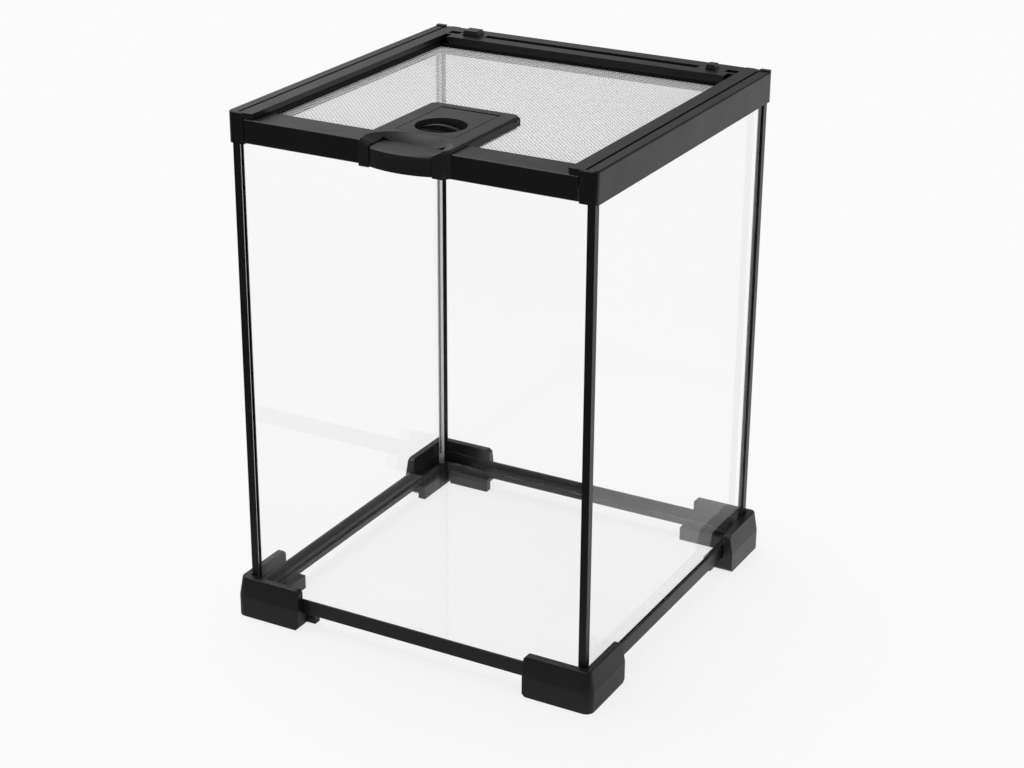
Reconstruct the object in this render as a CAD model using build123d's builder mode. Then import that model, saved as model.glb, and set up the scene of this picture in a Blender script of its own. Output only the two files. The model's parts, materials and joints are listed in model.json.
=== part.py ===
"""Glass terrarium with a sliding screen lid, a pull latch and a feeding hatch.

Millimetres, +Z up, the front with the latch towards -Y. The origin is on the
ground under the middle of the tank.
"""

from build123d import *
import math
import os

os.makedirs("parts", exist_ok=True)

# Tank: outer faces of the panes, and the top of the frame above the ground
tank_width = 209.0
tank_depth = 209.0
rail_top = 294.0
glass = 4.0
pane_play = 0.2
ground_edge = 0.4

# Base: bars that hold the panes' lower edges, and the feet under them
foot_overhang = 7.5
foot_leg = 41.0
foot_height = 24.0
foot_break = 12.4
foot_taper = 2.0
foot_corner_radius = 5.0
foot_end_chamfer = 1.8
foot_inner_wall = 4.9
foot_inner_reach = 4.0
foot_slit = 1.5
bar_height = 8.8
bar_lift = 8.5
bar_wall = 1.2
bar_web = 1.5
bar_ledge = 2.0
bar_fit = 0.1

# Corner posts: angle strips outside the glass, black seams between the panes
post_leg = 3.5
post_thickness = 0.8
seam_gap = 0.8
seam_width = 1.4

# Top rails
rail_height = 17.0
rail_wall = 2.3
rail_inner_wall = 3.1
pane_slot_depth = 10.0
lip_reach = 5.7
lip_thickness = 3.0
rail_corner_radius = 3.0
rail_edge_radius = 1.0
groove_from_edge = 6.0
groove_width = 1.5
groove_depth = 1.2
groove_end = 1.5
runner_reach = 3.0
runner_thickness = 1.2
rear_shelf_reach = 13.2
rear_shelf_thickness = 4.6
notch_width = 4.0
notch_depth = 6.0

# Cable gates in the rear rail
channel_width = 5.2
channel_depth = 1.6
channel_inset = 9.6
inlet_length = 14.0
inlet_width = 4.6
inlet_inset = 15.5
gate_length = 17.0
gate_play = 0.2
gate_lift = 0.1
left_thumb_length = 10.0
left_thumb_depth = 8.5
right_thumb_length = 6.0
right_thumb_depth = 6.5
thumb_height = 3.0

# Lid
lid_play = 0.3
lid_end_gap = 0.6
lid_bar_thickness = 5.1
lid_bar_height = 6.5
front_bar_depth = 17.5
front_bar_height = 13.0
front_bar_bevel = 0.5
pane_gap = 0.5
screen_thickness = 0.6
screen_edge = 2.0
screen_drop = 3.2
spline_size = 1.2
screen_fit = 0.1
net_pitch = 11.0
net_hole = 9.4

# Latch housing, its plate over the screen and the scoop for the fingers
plate_half_width = 27.0
plate_length = 55.9
plate_rise = 1.7
plate_corner = 3.0
plate_bevel = 1.2
clip_proud = 4.5
clip_flare = 2.8
clip_drop = 0.5
clip_bevel = 0.5
block_half_width = 21.7
block_depth = 14.0
block_fit = 0.3
scoop_half_width = 24.6
scoop_half_length = 15.4
scoop_depth = 6.0
scoop_inset = 3.0
cheek_half_width = 23.9
cheek_drop = 3.2
cheek_length = 13.5
cheek_fade = 0.8
pocket_half_width = 18.3
pocket_depth = 10.5
pocket_ceiling = 7.4
pocket_front = 1.6

# Latch handle
handle_play = 0.4
handle_bulge = 3.0
handle_height = 10.5
handle_bevel = 0.9
handle_wall = 2.0
handle_lip_depth = 8.0
handle_lip_thickness = 1.0
latch_pin_height = 5.3
latch_pin_inset = 1.2
latch_pin_radius = 0.9
barrel_radius = 1.9
catch_width = 5.0
catch_gap = 0.8
catch_reach = 7.0
catch_thickness = 1.8
catch_drop = 2.6
spring_wire = 0.5
spring_pitch = 1.0
spring_turns = 5.25
spring_rear_leg = 7.0
spring_front_leg = 4.0
spring_side_play = 0.5
spring_bay_recess = 1.0
pin_clearance = 0.08

# Feeding hatch
hatch_half_width = 17.0
hatch_length = 44.8
hatch_front_wall = 1.8
hatch_thickness = 2.9
hatch_gap = 0.4
port_half_width = 15.2
port_front_ledge = 0.8
port_length = 40.3
hatch_pin_radius = 0.7
cup_radius = 13.6
cup_wall = 1.0
cup_depth = 5.4
cup_centre_back = 15.8
grip_back = 1.5
grip_thickness = 2.4
grip_drop = 0.2
grip_floor_rise = 1.9

# Clamp ring under the screen and its screws
clamp_thickness = 2.0
clamp_half_width = 24.0
clamp_margin = 2.4
screw_radius = 0.85
screw_head_radius = 1.7
screw_head_height = 1.2
screw_x = 20.2
screw_margin = 4.0
screw_bite = 2.0

# Corner keys and end plugs
key_width = 1.6
key_height = 2.0
key_length = 8.0
key_fit = 0.1
rail_key_length = 14.0
rail_key_width = 3.0
rail_key_height = 2.5
plug_length = 6.0
plug_width = 3.0
plug_depth = 1.2
plug_proud = 0.8
plug_inset = 0.6

# Places worked out from the sizes above
pane_x = tank_width / 2
pane_y = tank_depth / 2
inside_x = pane_x - glass
inside_y = pane_y - glass
rail_x = pane_x + pane_play + rail_wall
rail_y = pane_y + pane_play + rail_wall
rail_body = rail_wall + 2 * pane_play + glass + rail_inner_wall
rail_inner_x = rail_x - rail_body
rail_inner_y = rail_y - rail_body
lip_x = rail_inner_x - lip_reach
lip_bottom = rail_top - lip_thickness
rail_bottom = rail_top - rail_height
slot_ceiling = rail_bottom + pane_slot_depth
pane_top = slot_ceiling - pane_play
shelf_y = rail_inner_y - rear_shelf_reach
shelf_bottom = rail_top - rear_shelf_thickness
channel_y = rail_y - channel_inset - channel_width / 2
channel_floor = rail_top - channel_depth
inlet_centre = lip_x - inlet_inset

pane_bottom = bar_lift + bar_web
bar_top = bar_lift + bar_height
bar_outer_x = pane_x + bar_wall
bar_outer_y = pane_y + bar_wall
bar_inner_x = inside_x - pane_play - bar_wall
bar_inner_y = inside_y - pane_play - bar_wall
floor_bottom = pane_bottom + bar_ledge
foot_x = pane_x + foot_overhang
foot_y = pane_y + foot_overhang

lid_top = lip_bottom - lid_play
lid_x = rail_inner_x - lid_end_gap
lid_inner_x = lid_x - lid_bar_thickness
lid_bar_bottom = lid_top - lid_bar_height
lid_front = -rail_y
front_bar_back = lid_front + front_bar_depth
front_bar_bottom = lid_top - front_bar_height
front_pane_top = front_bar_bottom - pane_gap
rear_bar_front = shelf_y
rear_bar_back = rear_bar_front + lid_bar_thickness
rear_bar_top = shelf_bottom - lid_play
runner_top = lid_bar_bottom - lid_play
runner_bottom = runner_top - runner_thickness

screen_top = lid_top - screen_drop
screen_bottom = screen_top - screen_thickness
screen_front = front_bar_back - screen_edge
screen_back = rear_bar_front + screen_edge
screen_x = lid_inner_x + screen_edge
spline_bottom = screen_bottom - spline_size

plate_top = lid_top + plate_rise
plate_back = front_bar_back + plate_length
clip_front = lid_front - clip_proud
clip_bottom = front_bar_bottom + clip_drop
pocket_top = clip_bottom + pocket_ceiling
pocket_step = lid_front + pocket_front
scoop_y = lid_front + scoop_inset
scoop_back = scoop_y + scoop_half_length
scoop_bottom = plate_top - scoop_depth
scoop_lift = (scoop_half_length**2 - scoop_depth**2) / (2 * scoop_depth)

handle_half_width = pocket_half_width - handle_play
handle_bottom = clip_bottom + handle_play
handle_top = handle_bottom + handle_height
handle_front = clip_front + handle_play
handle_back = pocket_step - handle_play
lip_end = handle_back + handle_lip_depth
lip_underside = handle_top - handle_lip_thickness
latch_pin_y = lid_front + latch_pin_inset
latch_pin_z = clip_bottom + latch_pin_height

hatch_front = scoop_back + hatch_front_wall
hatch_bottom = plate_top - hatch_thickness
hatch_ledge = hatch_bottom - lid_play
hatch_barrel = hatch_thickness / 2
hatch_pin_z = plate_top - hatch_barrel
hatch_pin_y = hatch_front + hatch_length
port_front = hatch_front - hatch_gap + port_front_ledge
port_back = port_front + port_length
cup_y = hatch_front + cup_centre_back
cup_bottom = plate_top - cup_depth

clamp_bottom = screen_bottom - clamp_thickness
clamp_front = port_front - clamp_margin
clamp_back = plate_back - plate_bevel - pane_gap
screw_rows = (clamp_front + screw_margin, clamp_back - screw_margin)

corners = {
    "front_left": (-1, -1),
    "front_right": (1, -1),
    "rear_right": (1, 1),
    "rear_left": (-1, 1),
}


def block(x, y, z, mode=Mode.ADD):
    """Add or cut a box between two planes on each axis, in any order."""
    centre = [(pair[0] + pair[1]) / 2 for pair in (x, y, z)]
    size = [abs(pair[1] - pair[0]) for pair in (x, y, z)]
    with Locations(tuple(centre)):
        Box(*size, mode=mode)


def rod(radius, x, y, z, mode=Mode.ADD):
    """Add or cut a round bar along X between two planes."""
    with Locations(((x[0] + x[1]) / 2, y, z)):
        Cylinder(radius, abs(x[1] - x[0]), rotation=(0, 90, 0), mode=mode)


def pane(x, y, z):
    """Make one sheet of glass with ground edges."""
    with BuildPart() as sheet:
        block(x, y, z)
        chamfer(sheet.edges(), ground_edge)
    return sheet.part


def save(part, name):
    """Label a finished piece and write its file."""
    part.label = name
    export_step(part, f"parts/{name}.step")


# Glass
side_pane_y = inside_y - seam_gap
save(pane((-pane_x, pane_x), (-pane_y, -inside_y), (pane_bottom, front_pane_top)), "front_glass")
save(pane((-pane_x, pane_x), (inside_y, pane_y), (pane_bottom, pane_top)), "back_glass")
for side, sx in (("left", -1), ("right", 1)):
    side_pane = pane((sx * inside_x, sx * pane_x), (-side_pane_y, side_pane_y), (pane_bottom, pane_top))
    save(side_pane, f"{side}_glass")
floor_x = inside_x - pane_play
floor_y = side_pane_y - pane_play
save(pane((-floor_x, floor_x), (-floor_y, floor_y), (floor_bottom, floor_bottom + glass)), "floor_glass")

# Base bars: a channel for the wall pane, with a ledge for the floor pane
for side, sy in (("front", -1), ("rear", 1)):
    with BuildPart() as base_bar:
        block((-bar_outer_x, bar_outer_x), (sy * pane_y, sy * bar_outer_y), (bar_lift, bar_top))
        block((-bar_outer_x, bar_outer_x), (sy * bar_inner_y, sy * pane_y), (bar_lift, pane_bottom))
        ledge_y = (sy * bar_inner_y, sy * (inside_y - pane_play))
        block((-bar_inner_x, bar_inner_x), ledge_y, (pane_bottom, floor_bottom))
    save(base_bar.part, f"{side}_base_bar")

side_bar_y = bar_inner_y - bar_fit
for side, sx in (("left", -1), ("right", 1)):
    with BuildPart() as base_bar:
        block((sx * pane_x, sx * bar_outer_x), (-side_bar_y, side_bar_y), (bar_lift, bar_top))
        block((sx * bar_inner_x, sx * pane_x), (-side_bar_y, side_bar_y), (bar_lift, pane_bottom))
        ledge_x = (sx * bar_inner_x, sx * (inside_x - pane_play))
        block(ledge_x, (-side_bar_y, side_bar_y), (pane_bottom, floor_bottom))
    save(base_bar.part, f"{side}_base_bar")

# Feet: one corner shape with its outer corner at the origin, legs along -X and -Y
wall_inner = foot_overhang - bar_wall - bar_fit
block_outer = foot_overhang + glass + bar_fit
block_inner = block_outer + foot_inner_wall
inner_leg = foot_leg + foot_inner_reach
crown_height = foot_height - foot_break
with BuildPart() as foot_shape:
    with BuildSketch() as foot_plan:
        with Locations((-foot_leg, -foot_leg)):
            Rectangle(2 * foot_leg, 2 * foot_leg)
        fillet(foot_plan.vertices().group_by(Axis.Y)[-1].sort_by(Axis.X)[-1], foot_corner_radius)
    extrude(amount=foot_break)
    with BuildSketch(Plane.XY.offset(foot_break)):
        add(foot_plan.sketch)
    extrude(amount=crown_height, taper=math.degrees(math.atan2(foot_taper, crown_height)))
    block((-foot_leg, -2 * foot_leg), (0, -2 * foot_leg), (0, foot_height), mode=Mode.SUBTRACT)
    block((0, -2 * foot_leg), (-foot_leg, -2 * foot_leg), (0, foot_height), mode=Mode.SUBTRACT)
    ends = foot_shape.edges().filter_by(Axis.Y).group_by(Axis.X)[0]
    ends += foot_shape.edges().filter_by(Axis.X).group_by(Axis.Y)[0]
    chamfer(ends, foot_end_chamfer)
    block((-wall_inner, -foot_leg), (-wall_inner, -foot_leg), (bar_lift, foot_height), mode=Mode.SUBTRACT)
    block((-block_outer, -foot_leg), (-block_outer, -foot_leg), (0, bar_lift), mode=Mode.SUBTRACT)
    block((-block_outer, -inner_leg), (-block_inner, -block_outer), (0, bar_lift))
    block((-block_inner, -block_outer), (-block_inner - foot_slit, -inner_leg), (0, bar_lift))

for turn, (corner, (sx, sy)) in zip((180, 270, 0, 90), corners.items()):
    with BuildPart() as foot:
        with Locations(Location((sx * foot_x, sy * foot_y, 0), (0, 0, turn))):
            add(foot_shape.part)
    save(foot.part, f"{corner}_foot")

# Corner posts, and the black seams between neighbouring panes
for corner, (sx, sy) in corners.items():
    with BuildPart() as post:
        skin_x = (sx * (pane_x - post_leg), sx * (pane_x + post_thickness))
        skin_y = (sy * (pane_y - post_leg), sy * (pane_y + post_thickness))
        block(skin_x, (sy * pane_y, skin_y[1]), (bar_top, rail_bottom))
        block((sx * pane_x, skin_x[1]), skin_y, (bar_top, rail_bottom))
    save(post.part, f"{corner}_post")

with BuildPart() as corner_seams:
    for sx, sy in corners.values():
        seam_mid = sx * (pane_x - glass / 3)
        seam_x = (seam_mid - seam_width / 2, seam_mid + seam_width / 2)
        block(seam_x, (sy * side_pane_y, sy * inside_y), (bar_top, rail_bottom))
save(corner_seams.part, "corner_seams")

# Side rails: pane slot below, lip over the lid, runner under the lid
slot_x = (pane_x + pane_play, inside_x - pane_play)
slot_y = (pane_y + pane_play, inside_y - pane_play)
for side, sx in (("left", -1), ("right", 1)):
    with BuildPart() as rail:
        block((sx * rail_inner_x, sx * rail_x), (-rail_y, rail_y), (rail_bottom, rail_top))
        outer_corners = rail.edges().filter_by(Axis.Z).filter_by(lambda e: abs(e.center().X) > pane_x)
        fillet(outer_corners, rail_corner_radius)
        crown_edges = rail.faces().sort_by(Axis.Z)[-1].edges()
        fillet(crown_edges.filter_by(lambda e: abs(e.center().X) > rail_inner_x + ground_edge), rail_edge_radius)
        block((sx * lip_x, sx * rail_inner_x), (-rail_y, rail_y), (lip_bottom, rail_top))
        runner_x = (sx * (rail_inner_x - runner_reach), sx * rail_inner_x)
        block(runner_x, (front_bar_back, shelf_y), (runner_bottom, runner_top))
        slot_z = (rail_bottom, slot_ceiling)
        block((sx * slot_x[0], sx * slot_x[1]), (-slot_y[0], slot_y[0]), slot_z, mode=Mode.SUBTRACT)
        for sy in (-1, 1):
            end_slot = (sy * slot_y[0], sy * slot_y[1])
            block((sx * rail_inner_x, sx * slot_x[0]), end_slot, slot_z, mode=Mode.SUBTRACT)
        inner_skirt = (sx * rail_inner_x, sx * slot_x[1])
        block(inner_skirt, (-slot_y[0], slot_y[0]), (rail_bottom, runner_bottom), mode=Mode.SUBTRACT)
        groove_x = (sx * (rail_x - groove_from_edge), sx * (rail_x - groove_from_edge - groove_width))
        groove_y = (-rail_y + groove_end, rail_y)
        block(groove_x, groove_y, (rail_top - groove_depth, rail_top), mode=Mode.SUBTRACT)
        plug_x = (sx * (rail_x - plug_inset), sx * (rail_x - plug_inset - plug_length))
        plug_y = (rail_y - plug_inset, rail_y - plug_inset - plug_width)
        block(plug_x, plug_y, (rail_top - plug_depth, rail_top), mode=Mode.SUBTRACT)
        rail_key_y = (slot_y[0] - rail_key_width, slot_y[0])
        rail_key_z = (slot_ceiling + key_fit + 1, slot_ceiling + key_fit + 1 + rail_key_height)
        key_pocket = (sx * rail_inner_x, sx * (rail_inner_x + rail_key_length / 2 + key_fit))
        pocket_y = (rail_key_y[0] - key_fit, rail_key_y[1] + key_fit)
        pocket_z = (rail_key_z[0] - key_fit, rail_key_z[1] + key_fit)
        block(key_pocket, pocket_y, pocket_z, mode=Mode.SUBTRACT)
    save(rail.part, f"{side}_rail")

# Rear rail: between the side rails, with a shelf over the lid and the gates' channel
with BuildPart() as rear_rail:
    block((-rail_inner_x, rail_inner_x), (rail_inner_y, rail_y), (rail_bottom, lip_bottom))
    block((-lip_x, lip_x), (rail_inner_y, rail_y), (lip_bottom, rail_top))
    block((-lip_x, lip_x), (shelf_y, rail_inner_y), (shelf_bottom, rail_top))
    rear_edge = rear_rail.edges().filter_by(Axis.X).group_by(Axis.Z)[-1].sort_by(Axis.Y)[-1]
    fillet(rear_edge, rail_edge_radius)
    block((-rail_inner_x, rail_inner_x), slot_y, slot_z, mode=Mode.SUBTRACT)
    skirt_z = (rail_bottom, runner_bottom)
    block((-rail_inner_x, rail_inner_x), (rail_inner_y, slot_y[1]), skirt_z, mode=Mode.SUBTRACT)
    channel_span = (channel_y - channel_width / 2, channel_y + channel_width / 2)
    block((-lip_x, lip_x), channel_span, (channel_floor, rail_top), mode=Mode.SUBTRACT)
    for sx in (-1, 1):
        inlet_x = (sx * inlet_centre - inlet_length / 2, sx * inlet_centre + inlet_length / 2)
        inlet_y = (channel_y - inlet_width / 2, channel_y + inlet_width / 2)
        block(inlet_x, inlet_y, (shelf_bottom, channel_floor), mode=Mode.SUBTRACT)
        notch_x = (sx * lip_x, sx * (lip_x - notch_width))
        block(notch_x, (shelf_y, shelf_y + notch_depth), (shelf_bottom, rail_top), mode=Mode.SUBTRACT)
        key_pocket = (sx * rail_inner_x, sx * (rail_inner_x - rail_key_length / 2 - key_fit))
        block(key_pocket, pocket_y, pocket_z, mode=Mode.SUBTRACT)
save(rear_rail.part, "rear_rail")

with BuildPart() as rail_corner_keys:
    for sx in (-1, 1):
        key_x = (sx * (rail_inner_x - rail_key_length / 2), sx * (rail_inner_x + rail_key_length / 2))
        block(key_x, rail_key_y, rail_key_z)
save(rail_corner_keys.part, "rail_corner_keys")

with BuildPart() as rail_end_plugs:
    for sx in (-1, 1):
        plug_x = (sx * (rail_x - plug_inset), sx * (rail_x - plug_inset - plug_length))
        block(plug_x, plug_y, (rail_top - plug_depth, rail_top + plug_proud))
save(rail_end_plugs.part, "rail_end_plugs")

# Cable gates: a slide in the channel with a thumb block on top
gate_sizes = {
    "left": (-1, left_thumb_length, left_thumb_depth),
    "right": (1, right_thumb_length, right_thumb_depth),
}
for side, (sx, thumb_length, thumb_depth) in gate_sizes.items():
    with BuildPart() as gate:
        gate_x = (sx * inlet_centre - gate_length / 2, sx * inlet_centre + gate_length / 2)
        gate_y = (channel_span[0] + gate_play, channel_span[1] - gate_play)
        block(gate_x, gate_y, (channel_floor + gate_lift, rail_top + gate_lift))
        with BuildSketch(Plane.XY.offset(rail_top + gate_lift)):
            with Locations((sx * inlet_centre, channel_y)):
                Rectangle(thumb_length, thumb_depth)
        extrude(amount=thumb_height, taper=12)
    save(gate.part, f"{side}_cable_gate")

# Lid front bar, cut back in the middle for the latch
groove_z = (spline_bottom - screen_fit, screen_top + screen_fit)
lid_key_z = (screen_bottom, screen_bottom + key_height)
lid_key_x = (lid_x - screen_fit - key_width, lid_x - screen_fit)


def lid_key_pocket(sx, joint_y, mode=Mode.SUBTRACT):
    """Cut the hole for the key that joins two lid bars at one corner."""
    x = (sx * (lid_key_x[0] - key_fit), sx * lid_x)
    y = (joint_y - key_length / 2 - key_fit, joint_y + key_length / 2 + key_fit)
    block(x, y, (lid_key_z[0] - key_fit, lid_key_z[1] + key_fit), mode=mode)


with BuildPart() as lid_front_bar:
    block((-lid_x, lid_x), (lid_front, front_bar_back), (front_bar_bottom, lid_top))
    chamfer(lid_front_bar.edges().filter_by(Axis.X), front_bar_bevel)
    cut_half = block_half_width + block_fit
    cut_y = (lid_front, lid_front + block_depth)
    block((-cut_half, cut_half), cut_y, (front_bar_bottom, lid_top), mode=Mode.SUBTRACT)
    block((-cut_half, cut_half), (lid_front, front_bar_back), (screen_top, lid_top), mode=Mode.SUBTRACT)
    groove_y = (screen_front - screen_fit, front_bar_back)
    groove_half = screen_x + screen_fit
    block((-groove_half, groove_half), groove_y, groove_z, mode=Mode.SUBTRACT)
    for sx in (-1, 1):
        lid_key_pocket(sx, front_bar_back)
save(lid_front_bar.part, "lid_front_bar")

for side, sx in (("left", -1), ("right", 1)):
    with BuildPart() as lid_side_bar:
        block((sx * lid_inner_x, sx * lid_x), (front_bar_back, rear_bar_front), (lid_bar_bottom, lid_top))
        groove_x = (sx * lid_inner_x, sx * groove_half)
        block(groove_x, (front_bar_back, rear_bar_front), groove_z, mode=Mode.SUBTRACT)
        lid_key_pocket(sx, front_bar_back)
        lid_key_pocket(sx, rear_bar_front)
    save(lid_side_bar.part, f"lid_{side}_bar")

with BuildPart() as lid_rear_bar:
    block((-lid_x, lid_x), (rear_bar_front, rear_bar_back), (lid_bar_bottom, rear_bar_top))
    rear_groove = (rear_bar_front, screen_back + screen_fit)
    block((-groove_half, groove_half), rear_groove, groove_z, mode=Mode.SUBTRACT)
    for sx in (-1, 1):
        lid_key_pocket(sx, rear_bar_front)
save(lid_rear_bar.part, "lid_rear_bar")

with BuildPart() as lid_corner_keys:
    for sx in (-1, 1):
        for joint_y in (front_bar_back, rear_bar_front):
            key_x = (sx * lid_key_x[0], sx * lid_key_x[1])
            key_y = (joint_y - key_length / 2, joint_y + key_length / 2)
            block(key_x, key_y, lid_key_z)
save(lid_corner_keys.part, "lid_corner_keys")

# Screen: a holed sheet, closed under the latch plate except for the feeding port
clamp_hole_half = port_half_width + block_fit
port_y = (port_front - block_fit, port_back + block_fit)
screw_spots = [(sx * screw_x, y) for sx in (-1, 1) for y in screw_rows]
net_middle = (front_bar_back + rear_bar_front) / 2
across = int(2 * lid_inner_x // net_pitch) - 1
along = int((rear_bar_front - front_bar_back) // net_pitch) - 1
net_openings = []
for spot in GridLocations(net_pitch, net_pitch, across, along):
    hole_x = spot.position.X
    hole_y = spot.position.Y + net_middle
    beside = abs(hole_x) > plate_half_width + net_pitch / 2
    behind = hole_y > plate_back + net_pitch / 2
    if beside or behind:
        net_openings.append((hole_x, hole_y))
with BuildPart() as screen_mesh:
    with BuildSketch(Plane.XY.offset(screen_bottom)):
        with Locations((0, (screen_front + screen_back) / 2)):
            Rectangle(2 * screen_x, screen_back - screen_front)
        with Locations(*net_openings):
            Rectangle(net_hole, net_hole, mode=Mode.SUBTRACT)
        with Locations((0, (port_y[0] + port_y[1]) / 2)):
            Rectangle(2 * clamp_hole_half, port_y[1] - port_y[0], mode=Mode.SUBTRACT)
        with Locations(*screw_spots):
            Circle(screw_radius + key_fit, mode=Mode.SUBTRACT)
    extrude(amount=screen_thickness)
save(screen_mesh.part, "screen_mesh")

with BuildPart() as screen_spline:
    outer_y = (screen_front, screen_back)
    spline_z = (spline_bottom, screen_bottom)
    block((-screen_x, screen_x), outer_y, spline_z)
    inner_half = screen_x - spline_size
    inner_y = (screen_front + spline_size, screen_back - spline_size)
    block((-inner_half, inner_half), inner_y, spline_z, mode=Mode.SUBTRACT)
save(screen_spline.part, "screen_spline")

# Latch housing: plate over the screen, skin over the bar, clip on the bar's front
clip_front_half = plate_half_width - clip_flare
clip_points = [
    (-plate_half_width, lid_front),
    (-clip_front_half, clip_front),
    (clip_front_half, clip_front),
    (plate_half_width, lid_front),
]
corner_y = plate_back - plate_corner
corner_x = plate_half_width - plate_corner
with BuildPart() as latch_housing:
    with BuildSketch(Plane.XY.offset(lid_top)):
        with BuildLine():
            Polyline(
                *clip_points,
                (plate_half_width, corner_y),
                (corner_x, plate_back),
                (-corner_x, plate_back),
                (-plate_half_width, corner_y),
                close=True,
            )
        make_face()
    extrude(amount=plate_rise)
    top_edges = latch_housing.faces().sort_by(Axis.Z)[-1].edges()
    chamfer([edge for edge in top_edges if edge.center().Y > clip_front + clip_bevel], plate_bevel)
    with BuildSketch(Plane.XY.offset(screen_top)):
        with BuildLine():
            Polyline(
                (-plate_half_width, front_bar_back),
                (plate_half_width, front_bar_back),
                (plate_half_width, corner_y),
                (corner_x, plate_back),
                (-corner_x, plate_back),
                (-plate_half_width, corner_y),
                close=True,
            )
        make_face()
    extrude(amount=screen_drop)
    with BuildSketch(Plane.XY.offset(clip_bottom)):
        with BuildLine():
            Polyline(*clip_points, close=True)
        make_face()
    extrude(amount=lid_top - clip_bottom)
    block_x = (-block_half_width, block_half_width)
    block_y = (lid_front, lid_front + block_depth - block_fit)
    block(block_x, block_y, (clip_bottom, lid_top))
    block(block_x, (lid_front, front_bar_back), (screen_top, lid_top))
    brow = latch_housing.edges().filter_by(Axis.X).group_by(Axis.Y)[0].sort_by(Axis.Z)[-1]
    chamfer(brow, clip_bevel)
    scoop_axis = Axis((0, scoop_y, plate_top + scoop_lift), (1, 0, 0))
    with BuildSketch(Plane.XZ.offset(-scoop_y)):
        with BuildLine():
            ThreePointArc((-scoop_half_width, plate_top), (0, scoop_bottom), (scoop_half_width, plate_top))
            Polyline(
                (scoop_half_width, plate_top),
                (scoop_half_width, plate_top + scoop_lift),
                (-scoop_half_width, plate_top + scoop_lift),
                (-scoop_half_width, plate_top),
            )
        make_face()
    revolve(axis=scoop_axis, mode=Mode.SUBTRACT)
    with BuildSketch(Plane.XZ.offset(-clip_front)):
        with BuildLine():
            Polyline(
                (-cheek_half_width, plate_top + cheek_drop),
                (-cheek_half_width, plate_top),
                (-pocket_half_width, plate_top - cheek_drop),
                (pocket_half_width, plate_top - cheek_drop),
                (cheek_half_width, plate_top),
                (cheek_half_width, plate_top + cheek_drop),
                close=True,
            )
        make_face()
    extrude(amount=cheek_length, dir=(0, cheek_length, cheek_drop * cheek_fade), mode=Mode.SUBTRACT)
    pocket_x = (-pocket_half_width, pocket_half_width)
    pocket_y = (clip_front, lid_front + pocket_depth)
    block(pocket_x, pocket_y, (clip_bottom, pocket_top), mode=Mode.SUBTRACT)
    block(pocket_x, (clip_front, pocket_step), (clip_bottom, plate_top), mode=Mode.SUBTRACT)
    lip_bay = (clip_front, lip_end + handle_play)
    block(pocket_x, lip_bay, (lip_underside - handle_play, plate_top), mode=Mode.SUBTRACT)
    hatch_seat = hatch_half_width + hatch_gap
    seat_y = (hatch_front - hatch_gap, hatch_pin_y + hatch_barrel + hatch_gap)
    block((-hatch_seat, hatch_seat), seat_y, (hatch_ledge, plate_top), mode=Mode.SUBTRACT)
    port_span = (port_front, port_back)
    block((-port_half_width, port_half_width), port_span, (screen_top, hatch_ledge), mode=Mode.SUBTRACT)
    rod(hatch_pin_radius, (-plate_half_width, plate_half_width), hatch_pin_y, hatch_pin_z, mode=Mode.SUBTRACT)
    rod(latch_pin_radius, (-block_half_width, block_half_width), latch_pin_y, latch_pin_z, mode=Mode.SUBTRACT)
    with BuildSketch(Plane.XY.offset(screen_top)):
        with Locations(*screw_spots):
            Circle(screw_radius)
    extrude(amount=screw_bite, mode=Mode.SUBTRACT)
save(latch_housing.part, "latch_housing")

with BuildPart() as latch_pin:
    rod(latch_pin_radius, (-block_half_width, block_half_width), latch_pin_y, latch_pin_z)
save(latch_pin.part, "latch_pin")

with BuildPart() as hatch_pin:
    pin_half = plate_half_width - plate_bevel
    rod(hatch_pin_radius, (-pin_half, pin_half), hatch_pin_y, hatch_pin_z)
save(hatch_pin.part, "hatch_pin")

# Latch handle: a curved front with a lip to pull, a barrel on the pin and two catches
spring_span = spring_pitch * spring_turns
spring_coil = latch_pin_radius + pin_clearance + spring_wire
spring_bay_half = spring_span / 2 + spring_wire / 2 + spring_side_play
handle_x = (-handle_half_width, handle_half_width)
handle_bulge_y = handle_front - handle_bulge
with BuildPart() as latch_handle:
    with BuildSketch(Plane.XY.offset(handle_bottom)):
        with BuildLine():
            ThreePointArc((-handle_half_width, handle_front), (0, handle_bulge_y), (handle_half_width, handle_front))
            Polyline(
                (handle_half_width, handle_front),
                (handle_half_width, handle_back),
                (-handle_half_width, handle_back),
                (-handle_half_width, handle_front),
            )
        make_face()
    extrude(amount=handle_height)
    chamfer(latch_handle.edges().filter_by(GeomType.CIRCLE).sort_by(Axis.Z)[-1], handle_bevel)
    hollow_x = (-handle_half_width + handle_wall, handle_half_width - handle_wall)
    hollow_z = (handle_bottom, handle_top - handle_wall)
    block(hollow_x, (handle_front + handle_wall / 2, handle_back), hollow_z, mode=Mode.SUBTRACT)
    block(handle_x, (handle_back, lip_end), (lip_underside, handle_top))
    rod(barrel_radius, handle_x, latch_pin_y, latch_pin_z)
    web_y = (handle_front + handle_wall / 2, latch_pin_y)
    block(hollow_x, web_y, (latch_pin_z - barrel_radius / 2, latch_pin_z + barrel_radius / 2))
    catch_bottom = latch_pin_z - barrel_radius
    catch_end = latch_pin_y + catch_reach
    for sx in (-1, 1):
        catch_inner = spring_bay_half + catch_gap
        catch_x = (sx * catch_inner, sx * (catch_inner + catch_width))
        block(catch_x, (latch_pin_y, catch_end), (catch_bottom, catch_bottom + catch_thickness))
        hook_y = (catch_end - catch_thickness, catch_end)
        block(catch_x, hook_y, (catch_bottom - catch_drop, catch_bottom))
    spring_bay = (-spring_bay_half, spring_bay_half)
    bay_y = (handle_front - spring_bay_recess, handle_back + barrel_radius)
    block(spring_bay, bay_y, hollow_z, mode=Mode.SUBTRACT)
    rod(latch_pin_radius + pin_clearance, handle_x, latch_pin_y, latch_pin_z, mode=Mode.SUBTRACT)
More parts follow.
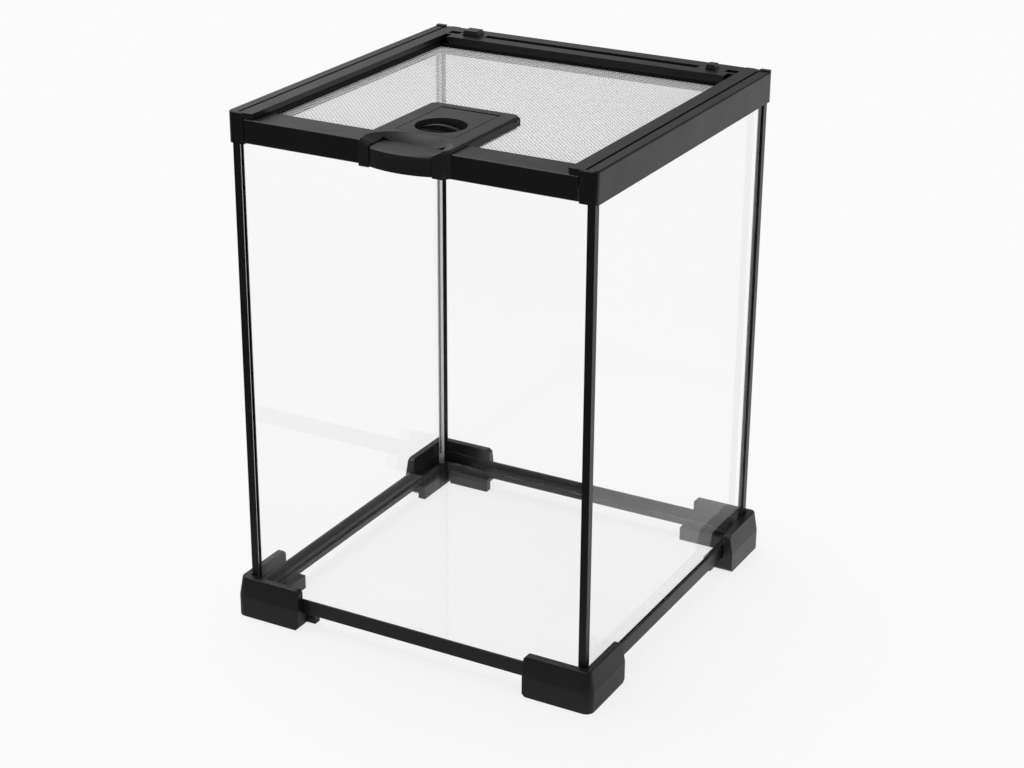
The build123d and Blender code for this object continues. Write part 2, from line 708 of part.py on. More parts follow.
save(latch_handle.part, "latch_handle")

# Torsion spring round the latch pin: one leg under the housing, one on the handle
with BuildPart() as latch_spring:
    with BuildLine() as spring_path:
        coil_start = (-spring_span / 2, latch_pin_y, latch_pin_z)
        coil = Helix(spring_pitch, spring_span, spring_coil, center=coil_start, direction=(1, 0, 0))
        rear_leg = Line(coil @ 0 - (coil % 0) * spring_rear_leg, coil @ 0)
        Line(coil @ 1, coil @ 1 + (coil % 1) * spring_front_leg)
    with BuildSketch(Plane(origin=rear_leg @ 0, z_dir=rear_leg % 0)):
        Circle(spring_wire / 2)
    sweep(path=spring_path.wire())
save(latch_spring.part, "latch_spring")

# Feeding hatch: a flap on a rear barrel, with a finger cup and a grip across it
with BuildPart() as feeding_hatch:
    hatch_x = (-hatch_half_width, hatch_half_width)
    block(hatch_x, (hatch_front, hatch_pin_y), (hatch_bottom, plate_top))
    rod(hatch_barrel, hatch_x, hatch_pin_y, hatch_pin_z)
    with BuildSketch(Plane.XY.offset(cup_bottom - cup_wall)):
        with Locations((0, cup_y)):
            Circle(cup_radius + cup_wall)
    extrude(amount=hatch_bottom - cup_bottom + cup_wall)
    with BuildSketch(Plane.XY.offset(cup_bottom)):
        with Locations((0, cup_y)):
            Circle(cup_radius)
    extrude(amount=cup_depth, mode=Mode.SUBTRACT)
    grip_y = cup_y + grip_back
    with BuildSketch(Plane.XY.offset(cup_bottom)):
        with Locations((0, cup_y)):
            Circle(cup_radius)
        with Locations((0, grip_y + cup_radius)):
            Rectangle(2 * cup_radius, 2 * cup_radius, mode=Mode.SUBTRACT)
    extrude(amount=grip_floor_rise)
    grip_foot = cup_bottom + grip_floor_rise
    with BuildSketch(Plane.XZ.offset(-grip_y - grip_thickness / 2)):
        with BuildLine():
            ThreePointArc((-cup_radius, grip_foot), (0, plate_top - grip_drop), (cup_radius, grip_foot))
            Polyline((cup_radius, grip_foot), (cup_radius, cup_bottom), (-cup_radius, cup_bottom), (-cup_radius, grip_foot))
        make_face()
    extrude(amount=grip_thickness)
    rod(hatch_pin_radius + pin_clearance, hatch_x, hatch_pin_y, hatch_pin_z, mode=Mode.SUBTRACT)
save(feeding_hatch.part, "feeding_hatch")

# Clamp ring under the screen, and the screws that hold it to the housing
with BuildPart() as port_clamp:
    with BuildSketch(Plane.XY.offset(clamp_bottom)):
        with Locations((0, (clamp_front + clamp_back) / 2)):
            Rectangle(2 * clamp_half_width, clamp_back - clamp_front)
        with Locations((0, (port_y[0] + port_y[1]) / 2)):
            Rectangle(2 * clamp_hole_half, port_y[1] - port_y[0], mode=Mode.SUBTRACT)
        with Locations(*screw_spots):
            Circle(screw_radius + key_fit, mode=Mode.SUBTRACT)
    extrude(amount=clamp_thickness)
save(port_clamp.part, "port_clamp")

with BuildPart() as clamp_screws:
    with BuildSketch(Plane.XY.offset(clamp_bottom)):
        with Locations(*screw_spots):
            Circle(screw_radius)
    extrude(amount=screen_top + screw_bite - clamp_bottom)
    with BuildSketch(Plane.XY.offset(clamp_bottom - screw_head_height)):
        with Locations(*screw_spots):
            Circle(screw_head_radius)
    extrude(amount=screw_head_height)
save(clamp_screws.part, "clamp_screws")
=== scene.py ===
"""Looks of the glass terrarium: its glass, moulded frame, woven screen, latch and hatch.

Metres, +Z up, the front with the latch towards -Y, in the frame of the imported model.
"""

from __future__ import annotations

import json
import logging
import math
from dataclasses import dataclass, field
from enum import Enum
from typing import Any, Sequence

import bmesh
import bpy
from mathutils import Matrix, Vector


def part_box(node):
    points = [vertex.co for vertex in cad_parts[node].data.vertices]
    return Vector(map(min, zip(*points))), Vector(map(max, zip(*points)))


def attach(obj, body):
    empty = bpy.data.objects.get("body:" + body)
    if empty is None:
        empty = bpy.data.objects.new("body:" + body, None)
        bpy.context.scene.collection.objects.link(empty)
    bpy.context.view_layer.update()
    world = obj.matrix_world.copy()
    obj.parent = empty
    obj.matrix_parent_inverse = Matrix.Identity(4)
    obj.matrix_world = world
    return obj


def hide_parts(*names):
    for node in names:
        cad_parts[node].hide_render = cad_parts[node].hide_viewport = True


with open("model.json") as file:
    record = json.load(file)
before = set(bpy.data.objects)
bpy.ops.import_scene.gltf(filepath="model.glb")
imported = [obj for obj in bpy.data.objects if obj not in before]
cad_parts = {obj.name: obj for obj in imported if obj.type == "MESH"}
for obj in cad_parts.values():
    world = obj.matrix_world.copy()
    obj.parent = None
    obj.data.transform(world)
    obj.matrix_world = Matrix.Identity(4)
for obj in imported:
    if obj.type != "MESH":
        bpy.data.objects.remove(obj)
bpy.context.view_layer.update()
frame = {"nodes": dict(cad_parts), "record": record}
LOG = logging.getLogger("terrarium")
MM = 0.001


def linear(code: str) -> tuple[float, float, float, float]:
    """Turn an sRGB hex colour into the linear colour that the shaders take.

    Args:
        code: Six hex digits, with or without a leading hash.

    Returns:
        Red, green, blue and an alpha of one.
    """
    digits = code.lstrip("#")
    levels = [int(digits[i : i + 2], 16) / 255 for i in (0, 2, 4)]
    return tuple([v / 12.92 if v <= 0.04045 else ((v + 0.055) / 1.055) ** 2.4 for v in levels] + [1.0])


def add_node(
    tree: bpy.types.NodeTree,
    kind: str,
    settings: dict[str, Any] | None = None,
    links: dict[str | int, Any] | None = None,
    values: dict[str | int, Any] | None = None,
) -> bpy.types.Node:
    """Add one shader node with its settings, input values and incoming links.

    Args:
        tree: The node tree of the material.
        kind: The node's type name.
        settings: Attributes to set on the node.
        links: Output sockets by the name or index of the input that they feed.
        values: Default values by the name or index of the input.

    Returns:
        The new node.
    """
    node = tree.nodes.new(kind)
    for name, value in (settings or {}).items():
        setattr(node, name, value)
    for name, value in (values or {}).items():
        node.inputs[name].default_value = value
    for name, socket in (links or {}).items():
        tree.links.new(socket, node.inputs[name])
    return node


class Finish:
    """A finish that makes its material once and then hands out the same one."""

    name: str = "finish"

    def material(self) -> bpy.types.Material:
        """Return the finish's material, built on first use."""
        found = bpy.data.materials.get(self.name)
        if found is None:
            found = bpy.data.materials.new(self.name)
            found.use_nodes = True
            found.node_tree.nodes.clear()
            self.build(found.node_tree)
        return found

    def build(self, tree: bpy.types.NodeTree) -> None:
        """Fill an empty node tree with the finish's shader."""
        raise NotImplementedError


@dataclass(frozen=True)
class MouldedBlack(Finish):
    """Black ABS from a tool with a fine spark texture: dull, with a soft sheen at low angles."""

    name: str = "moulded_black_abs"
    colour: str = "#101011"
    worn: str = "#161617"
    roughness: float = 0.38
    ior: float = 1.45
    roughness_spread: float = 0.08
    grain_mm: float = 0.35
    grain_depth_mm: float = 0.012
    grain_detail: float = 2.0
    mottle_mm: float = 22.0
    mottle_detail: float = 4.0
    mottle_blend: float = 0.6

    def build(self, tree: bpy.types.NodeTree) -> None:
        """Fill the tree: mottled black, grain in the bump and uneven roughness."""
        place = add_node(tree, "ShaderNodeTexCoord").outputs["Object"]
        mottle = add_node(
            tree,
            "ShaderNodeTexNoise",
            links={"Vector": place},
            values={
                "Scale": 1 / (self.mottle_mm * MM),
                "Detail": self.mottle_detail,
                "Roughness": self.mottle_blend,
            },
        )
        tint = add_node(
            tree,
            "ShaderNodeMix",
            {"data_type": "RGBA"},
            links={"Factor": mottle.outputs["Fac"]},
            values={6: linear(self.colour), 7: linear(self.worn)},
        )
        grain = add_node(
            tree,
            "ShaderNodeTexNoise",
            links={"Vector": place},
            values={"Scale": 1 / (self.grain_mm * MM), "Detail": self.grain_detail},
        )
        spread = add_node(
            tree,
            "ShaderNodeMapRange",
            links={"Value": mottle.outputs["Fac"]},
            values={
                "To Min": self.roughness - self.roughness_spread,
                "To Max": self.roughness + self.roughness_spread,
            },
        )
        bump = add_node(
            tree,
            "ShaderNodeBump",
            links={"Height": grain.outputs["Fac"]},
            values={"Strength": 1.0, "Distance": self.grain_depth_mm * MM},
        )
        shader = add_node(
            tree,
            "ShaderNodeBsdfPrincipled",
            links={
                "Base Color": tint.outputs[2],
                "Roughness": spread.outputs["Result"],
                "Normal": bump.outputs["Normal"],
            },
            values={"IOR": self.ior},
        )
        add_node(tree, "ShaderNodeOutputMaterial", links={"Surface": shader.outputs["BSDF"]})


@dataclass(frozen=True)
class FloatGlass(Finish):
    """Clear float glass: all but invisible face on, a pale veil at a low angle, faintly green."""

    name: str = "float_glass"
    tint: str = "#ffffff"
    face_on: float = 0.012
    veil: float = 0.6
    falloff: float = 4.5
    roughness: float = 0.015
    smear_mm: float = 60.0
    smear_from: float = 0.5
    smear_full: float = 0.8
    smear: float = 0.02

    def build(self, tree: bpy.types.NodeTree) -> None:
        """Fill the tree: clear face on, and a mirror that grows towards low angles."""
        place = add_node(tree, "ShaderNodeTexCoord").outputs["Object"]
        smear = add_node(
            tree,
            "ShaderNodeTexNoise",
            links={"Vector": place},
            values={"Scale": 1 / (self.smear_mm * MM), "Detail": 5.0, "Roughness": 0.65},
        )
        haze = add_node(
            tree,
            "ShaderNodeMapRange",
            links={"Value": smear.outputs["Fac"]},
            values={
                "From Min": self.smear_from,
                "From Max": self.smear_full,
                "To Min": self.roughness,
                "To Max": self.roughness + self.smear,
            },
        )
        mirror = add_node(
            tree,
            "ShaderNodeBsdfPrincipled",
            links={"Roughness": haze.outputs["Result"]},
            values={"Base Color": linear("#ffffff"), "Metallic": 1.0},
        )
        clear = add_node(tree, "ShaderNodeBsdfTransparent", values={"Color": linear(self.tint)})
        slant = add_node(tree, "ShaderNodeLayerWeight", values={"Blend": 0.5})
        rise = add_node(
            tree,
            "ShaderNodeMath",
            {"operation": "POWER"},
            links={0: slant.outputs["Facing"]},
            values={1: self.falloff},
        )
        share = add_node(
            tree,
            "ShaderNodeMath",
            {"operation": "MULTIPLY_ADD", "use_clamp": True},
            links={0: rise.outputs[0]},
            values={1: self.veil, 2: self.face_on},
        )
        mix = add_node(
            tree,
            "ShaderNodeMixShader",
            links={0: share.outputs[0], 1: clear.outputs["BSDF"], 2: mirror.outputs["BSDF"]},
        )
        add_node(tree, "ShaderNodeOutputMaterial", links={"Surface": mix.outputs["Shader"]})


@dataclass(frozen=True)
class SiliconeBead(Finish):
    """Black silicone, smoothed by a finger while wet: soft, slightly glossy and uneven."""

    name: str = "black_silicone"
    colour: str = "#101011"
    ripple_mm: float = 7.0
    ripple_depth_mm: float = 0.2
    ripple_strength: float = 0.6
    roughness: float = 0.35
    ior: float = 1.41

    def build(self, tree: bpy.types.NodeTree) -> None:
        """Fill the tree: a ripple along the bead under an even black."""
        place = add_node(tree, "ShaderNodeTexCoord").outputs["Object"]
        ripple = add_node(
            tree,
            "ShaderNodeTexNoise",
            links={"Vector": place},
            values={"Scale": 1 / (self.ripple_mm * MM), "Detail": 3.0},
        )
        bump = add_node(
            tree,
            "ShaderNodeBump",
            links={"Height": ripple.outputs["Fac"]},
            values={"Strength": self.ripple_strength, "Distance": self.ripple_depth_mm * MM},
        )
        shader = add_node(
            tree,
            "ShaderNodeBsdfPrincipled",
            links={"Normal": bump.outputs["Normal"]},
            values={"Base Color": linear(self.colour), "Roughness": self.roughness, "IOR": self.ior},
        )
        add_node(tree, "ShaderNodeOutputMaterial", links={"Surface": shader.outputs["BSDF"]})


@dataclass(frozen=True)
class CoatedWire(Finish):
    """Zinc-coated steel wire: pale, with a soft sheen from any side."""

    name: str = "zinc_coated_wire"
    colour: str = "#f6f6f6"
    roughness: float = 0.45
    roughness_spread: float = 0.08
    metallic: float = 0.1
    draw_mm: float = 1.2

    def build(self, tree: bpy.types.NodeTree) -> None:
        """Fill the tree: a light metal whose tone changes a little from place to place."""
        place = add_node(tree, "ShaderNodeTexCoord").outputs["Object"]
        tone = add_node(
            tree,
            "ShaderNodeTexNoise",
            links={"Vector": place},
            values={"Scale": 1 / (self.draw_mm * MM), "Detail": 2.0},
        )
        spread = add_node(
            tree,
            "ShaderNodeMapRange",
            links={"Value": tone.outputs["Fac"]},
            values={
                "To Min": self.roughness - self.roughness_spread,
                "To Max": self.roughness + self.roughness_spread,
            },
        )
        shader = add_node(
            tree,
            "ShaderNodeBsdfPrincipled",
            links={"Roughness": spread.outputs["Result"]},
            values={"Base Color": linear(self.colour), "Metallic": self.metallic},
        )
        add_node(tree, "ShaderNodeOutputMaterial", links={"Surface": shader.outputs["BSDF"]})


@dataclass(frozen=True)
class GroundEdge(Finish):
    """Ground edge of float glass: frosted, so it looks pale where it catches the light."""

    name: str = "ground_glass_edge"
    colour: str = "#f3f6f4"
    roughness: float = 0.6
    ior: float = 1.5

    def build(self, tree: bpy.types.NodeTree) -> None:
        """Fill the tree: an even pale face."""
        shader = add_node(
            tree,
            "ShaderNodeBsdfPrincipled",
            values={"Base Color": linear(self.colour), "Roughness": self.roughness, "IOR": self.ior},
        )
        add_node(tree, "ShaderNodeOutputMaterial", links={"Surface": shader.outputs["BSDF"]})


# Grades of one black plastic: each has its own depth of black and its own sheen. The lid's thin bars lie in
# the shade of the rails, and their darker, duller black is painted shade for it.
FRAME_BLACK = MouldedBlack()
BASE_BLACK = MouldedBlack(name="moulded_black_base", colour="#131314", worn="#19191a", roughness=0.38)
STRIP_BLACK = MouldedBlack(
    name="extruded_black_pvc", colour="#111112", worn="#161617", roughness=0.34, grain_mm=0.8
)
LATCH_BLACK = MouldedBlack(
    name="moulded_black_latch", colour="#171718", worn="#1d1d1e", roughness=0.4, grain_mm=0.3
)
TRIM_BLACK = MouldedBlack(name="moulded_black_trim", colour="#121213", worn="#181819", roughness=0.36)
# Painted shade: the lid bars' black is darker and duller than the frame's, to stand for the rails' shade.
LID_SHADE_PAINTED_BLACK = MouldedBlack(name="lid_bar_painted_shade_black", colour="#0c0c0d", worn="#101011", roughness=0.6, ior=1.25)
INNER_BLACK = MouldedBlack(name="moulded_black_inner", colour="#1a1a1a", worn="#1f1f1f", roughness=0.5)
# The floor pane is seen at the lowest angle and mirrors only the tank's empty inside, so its veil is thin.
GLASS = FloatGlass()
FLOOR_GLASS = FloatGlass(name="float_glass_floor", veil=0.16, roughness=0.05)
GROUND_EDGE = GroundEdge()
SILICONE = SiliconeBead()
SPLINE = SiliconeBead(name="black_rubber_spline", colour="#121212", ripple_mm=3.0)
WIRE = CoatedWire()
# Wires across the light are seen from their shaded side; that shade is painted into their darker grey, which
# shows as fine slanted lines.
CROSS_WIRE_PAINTED_SHADE = CoatedWire(name="cross_wire_painted_shade", colour="#aeaeae")
PIN_STEEL = CoatedWire(name="drawn_steel_pin", colour="#b9b9bb", roughness=0.3, metallic=1.0)


class Slot(Enum):
    """The record's material slots, with the finish that each one takes."""

    clear_glass = GLASS
    frame_plastic = FRAME_BLACK
    base_plastic = BASE_BLACK
    strip_plastic = STRIP_BLACK
    latch_plastic = LATCH_BLACK
    trim_plastic = TRIM_BLACK
    inner_plastic = INNER_BLACK
    seam_silicone = SILICONE
    spline_rubber = SPLINE
    screen_steel = WIRE
    pin_steel = PIN_STEEL


def keep_piece(
    mesh: bmesh.types.BMesh,
    name: str,
    slot: Slot,
    body: str,
    *nodes: str,
    finishes: Sequence[Finish] = (),
) -> bpy.types.Object:
    """Turn a finished bmesh into a piece of the object.

    Args:
        mesh: The finished shape, in metres, in place.
        name: The piece's name.
        slot: The material slot it takes its finish from.
        body: The CAD body it moves with.
        nodes: CAD nodes that the piece stands for.
        finishes: Finishes by the faces' material index, where the slot's own is not enough.

    Returns:
        The new object.
    """
    data = bpy.data.meshes.new(name)
    mesh.to_mesh(data)
    mesh.free()
    piece = bpy.data.objects.new(name, data)
    bpy.context.scene.collection.objects.link(piece)
    for finish in finishes or (slot.value,):
        data.materials.append(finish.material())
    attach(piece, body)
    if nodes:
        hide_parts(*nodes)
    LOG.info("%s: %d faces", name, len(data.polygons))
    return piece


@dataclass
class CadFinish:
    """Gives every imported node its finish, and breaks the sharp edges of moulded ones."""

    edge_mm: dict[Slot, float] = field(
        default_factory=lambda: {
            Slot.frame_plastic: 0.3,
            Slot.base_plastic: 0.4,
            Slot.strip_plastic: 0.15,
            Slot.latch_plastic: 0.25,
            Slot.trim_plastic: 0.3,
            Slot.inner_plastic: 0.2,
        }
    )
    angle_deg: float = 28.0
    weld_mm: float = 0.002
    flat_deg: float = 0.5
    segments: int = 2
    # The lid bars take the darker black that is painted shade.
    own_finish: dict[str, Finish] = field(
        default_factory=lambda: {
            "floor_glass": FLOOR_GLASS,
            "lid_left_bar": LID_SHADE_PAINTED_BLACK,
            "lid_right_bar": LID_SHADE_PAINTED_BLACK,
            "lid_rear_bar": LID_SHADE_PAINTED_BLACK,
        }
    )

    def dress(self) -> None:
        """Put the finish of its slot on each node."""
        slots = {part["node"]: part["material_slot"] for part in frame["record"]["subparts"]}
        for name, node in frame["nodes"].items():
            slot = Slot[slots[name]]
            node.data.materials.clear()
            node.data.materials.append(self.own_finish.get(name, slot.value).material())
            if slot in self.edge_mm:
                self.break_edges(node, self.edge_mm[slot])
            LOG.info("%s: %s", name, slot.value.name)

    def break_edges(self, node: bpy.types.Object, width_mm: float) -> None:
        """Round the sharp edges of a moulded node by modifiers, its mesh left as it is.

        Args:
            node: The CAD node's object.
            width_mm: Width of the rounding.
        """
        weld = node.modifiers.new("weld", "WELD")
        weld.merge_threshold = self.weld_mm * MM
        flat = node.modifiers.new("flat", "DECIMATE")
        flat.decimate_type = "DISSOLVE"
        flat.angle_limit = math.radians(self.flat_deg)
        rounding = node.modifiers.new("rounding", "BEVEL")
        rounding.width = width_mm * MM
        rounding.segments = self.segments
        rounding.limit_method = "ANGLE"
        rounding.angle_limit = math.radians(self.angle_deg)
        rounding.harden_normals = True


@dataclass
class ScreenWeave:
    """The lid's screen: two families of crimped wire, woven over and under each other."""

    pitch_mm: float = 1.85
    wire_mm: float = 0.29
    sides: int = 4
    port_half_mm: float = 15.5
    port_front_mm: float = -86.7
    port_back_mm: float = -45.8
    weld_mm: float = 0.001
    turns_deg: tuple[float, float] = (45.0, -45.0)

    def build(self) -> bpy.types.Object:
        """Weave the screen at 45 degrees to the lid and trim it to its outline and the port.

        Returns:
            The screen as one piece.
        """
        low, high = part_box("screen_mesh")
        middle = (low + high) / 2
        mesh = bmesh.new()
        for shift, turn in enumerate(self.turns_deg):
            family = self.family((high.xy - low.xy).length, shift)
            for face in family.faces:
                face.material_index = shift
            spin = Matrix.Rotation(math.radians(turn), 4, "Z")
            bmesh.ops.transform(family, verts=family.verts[:], matrix=Matrix.Translation(middle) @ spin)
            self.pour(family, mesh)
        for point, outward in ((low, (-1, 0, 0)), (low, (0, -1, 0)), (high, (1, 0, 0)), (high, (0, 1, 0))):
            geometry = mesh.verts[:] + mesh.edges[:] + mesh.faces[:]
            bmesh.ops.bisect_plane(mesh, geom=geometry, plane_co=point, plane_no=outward, clear_outer=True)
        self.open_port(mesh)
        for face in mesh.faces:
            face.smooth = True
        # The second family takes the darker grey wire, painted shade for its shaded side.
        wire_and_painted_shade = (WIRE, CROSS_WIRE_PAINTED_SHADE)
        return keep_piece(mesh, "screen_weave", Slot.screen_steel, "lid", "screen_mesh", finishes=wire_and_painted_shade)

    def pour(self, source: bmesh.types.BMesh, target: bmesh.types.BMesh) -> None:
        """Move everything from one bmesh into another and free the first."""
        carrier = bpy.data.meshes.new("weave_part")
        source.to_mesh(carrier)
        source.free()
        target.from_mesh(carrier)
        bpy.data.meshes.remove(carrier)

    def family(self, span: float, shift: int) -> bmesh.types.BMesh:
        """Make all the wires of one direction, along X and side by side along Y.

        Args:
            span: Length and width that the wires must cover, in metres.
            shift: 1 where the middle wire starts under the other family, 0 where it starts over.

        Returns:
            The wires, centred on the origin.
        """
        pitch = self.pitch_mm * MM
        half = int(span / pitch / 2) + 2
        mesh = self.wire(half, shift)
        first = mesh.verts[:] + mesh.edges[:] + mesh.faces[:]
        for row in range(-half, half + 1):
            if row == 0:
                continue
            copy = bmesh.ops.duplicate(mesh, geom=first)["geom"]
            verts = [item for item in copy if isinstance(item, bmesh.types.BMVert)]
            bmesh.ops.translate(mesh, verts=verts, vec=((row % 2) * pitch, row * pitch, 0))
        return mesh

    def wire(self, half: int, shift: int) -> bmesh.types.BMesh:
        """Make one wire along X, crimped up and down by its own thickness at each crossing.

        Args:
            half: Crossings on each side of the origin.
            shift: 1 for a wire that lies low at the origin, 0 for one that lies high.

        Returns:
            The wire, a grid rolled into a tube and waved.
        """
        pitch = self.pitch_mm * MM
        radius = self.wire_mm / 2 * MM
        mesh = bmesh.new()
        bmesh.ops.create_grid(mesh, x_segments=2 * half, y_segments=self.sides, size=1.0)
        for vert in mesh.verts:
            crossing = round(vert.co.x * half)
            around = math.pi * (vert.co.y + 1)
            height = radius if (crossing + shift) % 2 == 0 else -radius
            vert.co = (crossing * pitch, radius * math.cos(around), height + radius * math.sin(around))
        bmesh.ops.remove_doubles(mesh, verts=mesh.verts[:], dist=self.weld_mm * MM)
        bmesh.ops.recalc_face_normals(mesh, faces=mesh.faces[:])
        return mesh

    def open_port(self, mesh: bmesh.types.BMesh) -> None:
        """Take the wires out of the feeding port, up to the clamp ring's inner edge."""
        half, front, back = self.port_half_mm * MM, self.port_front_mm * MM, self.port_back_mm * MM
        inside = [v for v in mesh.verts if abs(v.co.x) < half and front < v.co.y < back]
        bmesh.ops.delete(mesh, geom=inside, context="VERTS")


@dataclass
class PaneEnd:
    """The ground rear end of the left pane, which hides part of the corner strip from inside."""

    thickness_mm: float = 0.05
    inset_mm: float = 0.15

    def build(self) -> bpy.types.Object:
        """Cover the pane's rear end with a thin frosted skin.

        Returns:
            The skin as one piece.
        """
        low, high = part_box("left_glass")
        inset = self.inset_mm * MM
        size = Vector((high.x - low.x - 2 * inset, self.thickness_mm * MM, high.z - low.z - 2 * inset))
        centre = Vector(((low.x + high.x) / 2, high.y + size.y, (low.z + high.z) / 2))
        place = Matrix.Translation(centre) @ Matrix.Diagonal((*size, 1.0))
        mesh = bmesh.new()
        bmesh.ops.create_cube(mesh, size=1.0, matrix=place)
        return keep_piece(mesh, "left_pane_ground_end", Slot.clear_glass, "tank", finishes=(GROUND_EDGE,))


@dataclass
class Studio:
    """The pale floor, the soft light and the camera at the photograph's angle.

    Levels named mirror and the two panels reach glossy surfaces only.
    """

    azimuth_deg: float = 28.687
    elevation_deg: float = 22.968
    roll_deg: float = 0.362
    place_mm: tuple[float, float, float] = (549.43, -998.602, 606.794)
    focal_px: float = 2198.057
    image_px: float = 1024.0
    sensor_mm: float = 36.0
    clip_m: tuple[float, float] = (0.05, 50.0)
    white: str = "#fafafa"
    matt_white: str = "#f9f9f9"
    floor_half_m: float = 8.0
    sky: float = 0.72
    sun: float = 1.5
    sun_from: tuple[float, float, float] = (-0.22, 0.12, 0.97)
    sun_angle_deg: float = 35.0
    shade_kept: float = 0.16
    mirror_front: float = 0.06
    mirror_side: float = 0.9
    mirror_sky: float = 0.32
    mirror_before: float = 0.26
    floor_turn_m: tuple[float, float] = (-0.3, 0.1)
    sky_turn: tuple[float, float] = (-0.55, 0.25)
    side_panel: tuple[float, float, float] = (-0.76, 0.52, 0.39)
    side_panel_glow: float = 0.9
    top_panel: tuple[float, float, float] = (-0.52, -0.33, 0.79)
    top_panel_glow: float = 4.0
    panel_rim: float = 0.84
    panel_core: float = 0.98

    def build(self) -> None:
        """Set up the floor, the world, the lamp, the camera and the colour view."""
        self.floor()
        self.world()
        self.lamp()
        self.camera()
        bpy.context.scene.view_settings.view_transform = "Standard"

    def floor(self) -> bpy.types.Object:
        """Lay a wide white floor that takes shadows and looks darker in front to reflections."""
        mesh = bmesh.new()
        bmesh.ops.create_grid(mesh, x_segments=2, y_segments=2, size=self.floor_half_m)
        data = bpy.data.meshes.new("floor")
        mesh.to_mesh(data)
        mesh.free()
        floor = bpy.data.objects.new("floor", data)
        bpy.context.scene.collection.objects.link(floor)
        material = bpy.data.materials.new("studio_floor")
        material.use_nodes = True
        tree = material.node_tree
        tree.nodes.clear()
        place = add_node(tree, "ShaderNodeTexCoord").outputs["Object"]
        split = add_node(tree, "ShaderNodeSeparateXYZ", links={0: place})
        level = add_node(
            tree,
            "ShaderNodeMapRange",
            {"interpolation_type": "SMOOTHSTEP"},
            links={"Value": split.outputs["Y"]},
            values={
                "From Min": self.floor_turn_m[0],
                "From Max": self.floor_turn_m[1],
                "To Min": self.mirror_front,
                "To Max": self.mirror_side,
            },
        )
        rays = add_node(tree, "ShaderNodeLightPath").outputs
        seen = add_node(
            tree,
            "ShaderNodeMath",
            {"operation": "MAXIMUM"},
            links={0: rays["Is Camera Ray"], 1: rays["Is Transmission Ray"]},
        )
        share = add_node(
            tree,
            "ShaderNodeMath",
            {"operation": "MULTIPLY"},
            links={0: seen.outputs[0]},
            values={1: 1 - self.shade_kept},
        )
        matt = add_node(tree, "ShaderNodeBsdfDiffuse", values={"Color": linear(self.matt_white)})
        white = add_node(tree, "ShaderNodeEmission", values={"Color": linear(self.white)})
        floor_seen = add_node(
            tree,
            "ShaderNodeMixShader",
            links={0: share.outputs[0], 1: matt.outputs["BSDF"], 2: white.outputs["Emission"]},
        )
        mirrored = add_node(tree, "ShaderNodeEmission", links={"Strength": level.outputs["Result"]})
        glossy = add_node(
            tree,
            "ShaderNodeMath",
            {"operation": "SUBTRACT", "use_clamp": True},
            links={0: rays["Is Glossy Ray"], 1: rays["Is Transmission Ray"]},
        )
        mix = add_node(
            tree,
            "ShaderNodeMixShader",
            links={0: glossy.outputs[0], 1: floor_seen.outputs["Shader"], 2: mirrored.outputs["Emission"]},
        )
        add_node(tree, "ShaderNodeOutputMaterial", links={"Surface": mix.outputs["Shader"]})
        data.materials.append(material)
        return floor

    def world(self) -> None:
        """Light everything from all sides, with a white background behind the object."""
        world = bpy.data.worlds.new("studio")
        bpy.context.scene.world = world
        world.use_nodes = True
        tree = world.node_tree
        tree.nodes.clear()
        rays = add_node(tree, "ShaderNodeLightPath")
        shown = add_node(
            tree,
            "ShaderNodeMath",
            {"operation": "MAXIMUM"},
            links={0: rays.outputs["Is Camera Ray"], 1: rays.outputs["Is Transmission Ray"]},
        )
        backdrop = add_node(tree, "ShaderNodeBackground", values={"Color": linear(self.white)})
        light = add_node(tree, "ShaderNodeBackground", values={"Strength": self.sky})
        way = add_node(tree, "ShaderNodeTexCoord").outputs["Generated"]
        split = add_node(tree, "ShaderNodeSeparateXYZ", links={0: way})
        level = add_node(
            tree,
            "ShaderNodeMapRange",
            {"interpolation_type": "SMOOTHSTEP"},
            links={"Value": split.outputs["Y"]},
            values={
                "From Min": self.sky_turn[0],
                "From Max": self.sky_turn[1],
                "To Min": self.mirror_before,
                "To Max": self.mirror_sky,
            },
        )
        side = self.panel(tree, way, self.side_panel, self.side_panel_glow)
        top = self.panel(tree, way, self.top_panel, self.top_panel_glow)
        both = add_node(tree, "ShaderNodeMath", links={0: side, 1: top})
        total = add_node(tree, "ShaderNodeMath", links={0: level.outputs["Result"], 1: both.outputs[0]})
        mirrored = add_node(tree, "ShaderNodeBackground", links={"Strength": total.outputs[0]})
        soft = add_node(
            tree,
            "ShaderNodeMixShader",
            links={
                0: rays.outputs["Is Glossy Ray"],
                1: light.outputs["Background"],
                2: mirrored.outputs["Background"],
            },
        )
        mix = add_node(
            tree,
            "ShaderNodeMixShader",
            links={0: shown.outputs[0], 1: soft.outputs["Shader"], 2: backdrop.outputs["Background"]},
        )
        add_node(tree, "ShaderNodeOutputWorld", links={"Surface": mix.outputs["Shader"]})

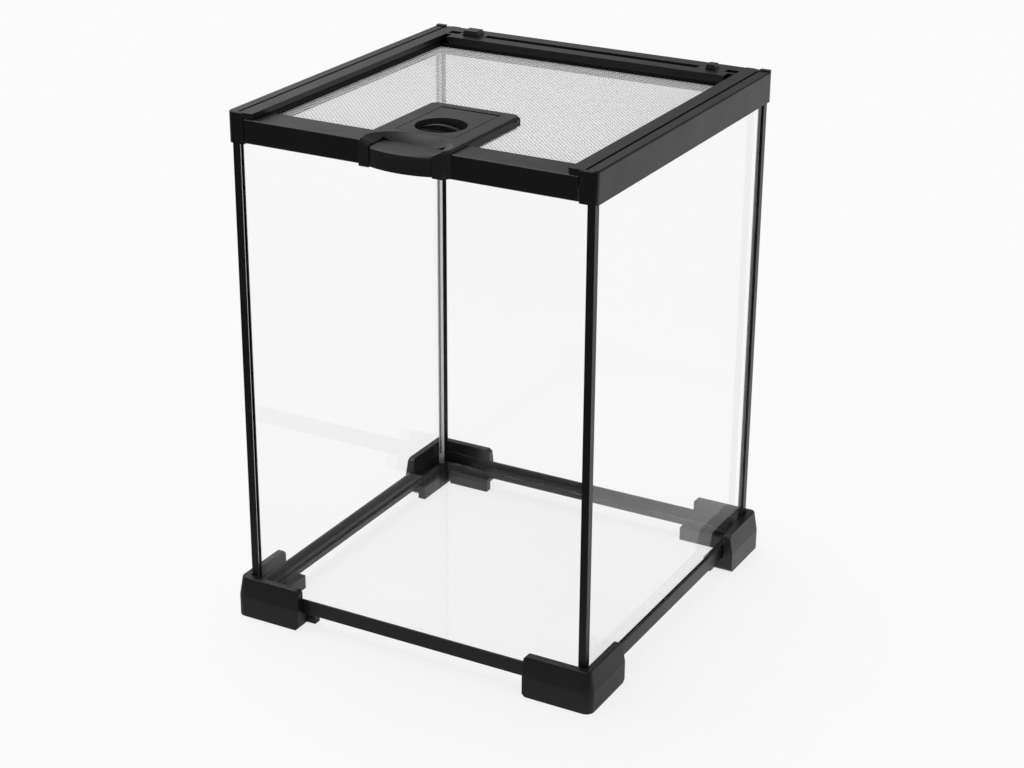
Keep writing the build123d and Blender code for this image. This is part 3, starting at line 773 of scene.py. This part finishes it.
    def panel(
        self,
        tree: bpy.types.NodeTree,
        way: bpy.types.NodeSocket,
        towards: tuple[float, float, float],
        glow: float,
    ) -> bpy.types.NodeSocket:
        """Hang a soft panel of light in the world that only glossy surfaces pick up.

        Args:
            tree: The world's node tree.
            way: The direction that a ray looks in.
            towards: The direction of the panel's middle.
            glow: What the panel adds in its middle.

        Returns:
            The added level.
        """
        turn = add_node(
            tree,
            "ShaderNodeVectorMath",
            {"operation": "DOT_PRODUCT"},
            links={0: way},
            values={1: Vector(towards).normalized()},
        )
        soft = add_node(
            tree,
            "ShaderNodeMapRange",
            {"interpolation_type": "SMOOTHSTEP"},
            links={"Value": turn.outputs["Value"]},
            values={"From Min": self.panel_rim, "From Max": self.panel_core, "To Min": 0.0, "To Max": glow},
        )
        return soft.outputs["Result"]

    def lamp(self) -> None:
        """Hang one broad lamp above the left side, for soft shadows to the right."""
        data = bpy.data.lights.new("broad_lamp", "SUN")
        data.energy = self.sun
        data.angle = math.radians(self.sun_angle_deg)
        lamp = bpy.data.objects.new("broad_lamp", data)
        bpy.context.scene.collection.objects.link(lamp)
        lamp.visible_glossy = False
        lamp.rotation_euler = Vector(self.sun_from).to_track_quat("Z", "Y").to_euler()

    def camera(self) -> None:
        """Place the camera as fitted to the corners of the photographed frame and feet."""
        data = bpy.data.cameras.new("camera")
        data.sensor_width = self.sensor_mm
        data.lens = self.focal_px * self.sensor_mm / self.image_px
        camera = bpy.data.objects.new("camera", data)
        bpy.context.scene.collection.objects.link(camera)
        around, up = math.radians(self.azimuth_deg), math.radians(self.elevation_deg)
        back = Vector((math.sin(around) * math.cos(up), -math.cos(around) * math.cos(up), math.sin(up)))
        level = back.to_track_quat("Z", "Y").to_matrix().to_4x4()
        roll = Matrix.Rotation(math.radians(self.roll_deg), 4, "Z")
        camera.matrix_world = Matrix.Translation(Vector(self.place_mm) * MM) @ level @ roll
        data.clip_start, data.clip_end = self.clip_m
        bpy.context.scene.camera = camera


def main() -> None:
    """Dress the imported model, build the woven screen and set up the studio."""
    logging.basicConfig(level=logging.INFO, format="%(name)s %(message)s")
    CadFinish().dress()
    ScreenWeave().build()
    PaneEnd().build()
    Studio().build()


if __name__ == "__main__":
    main()
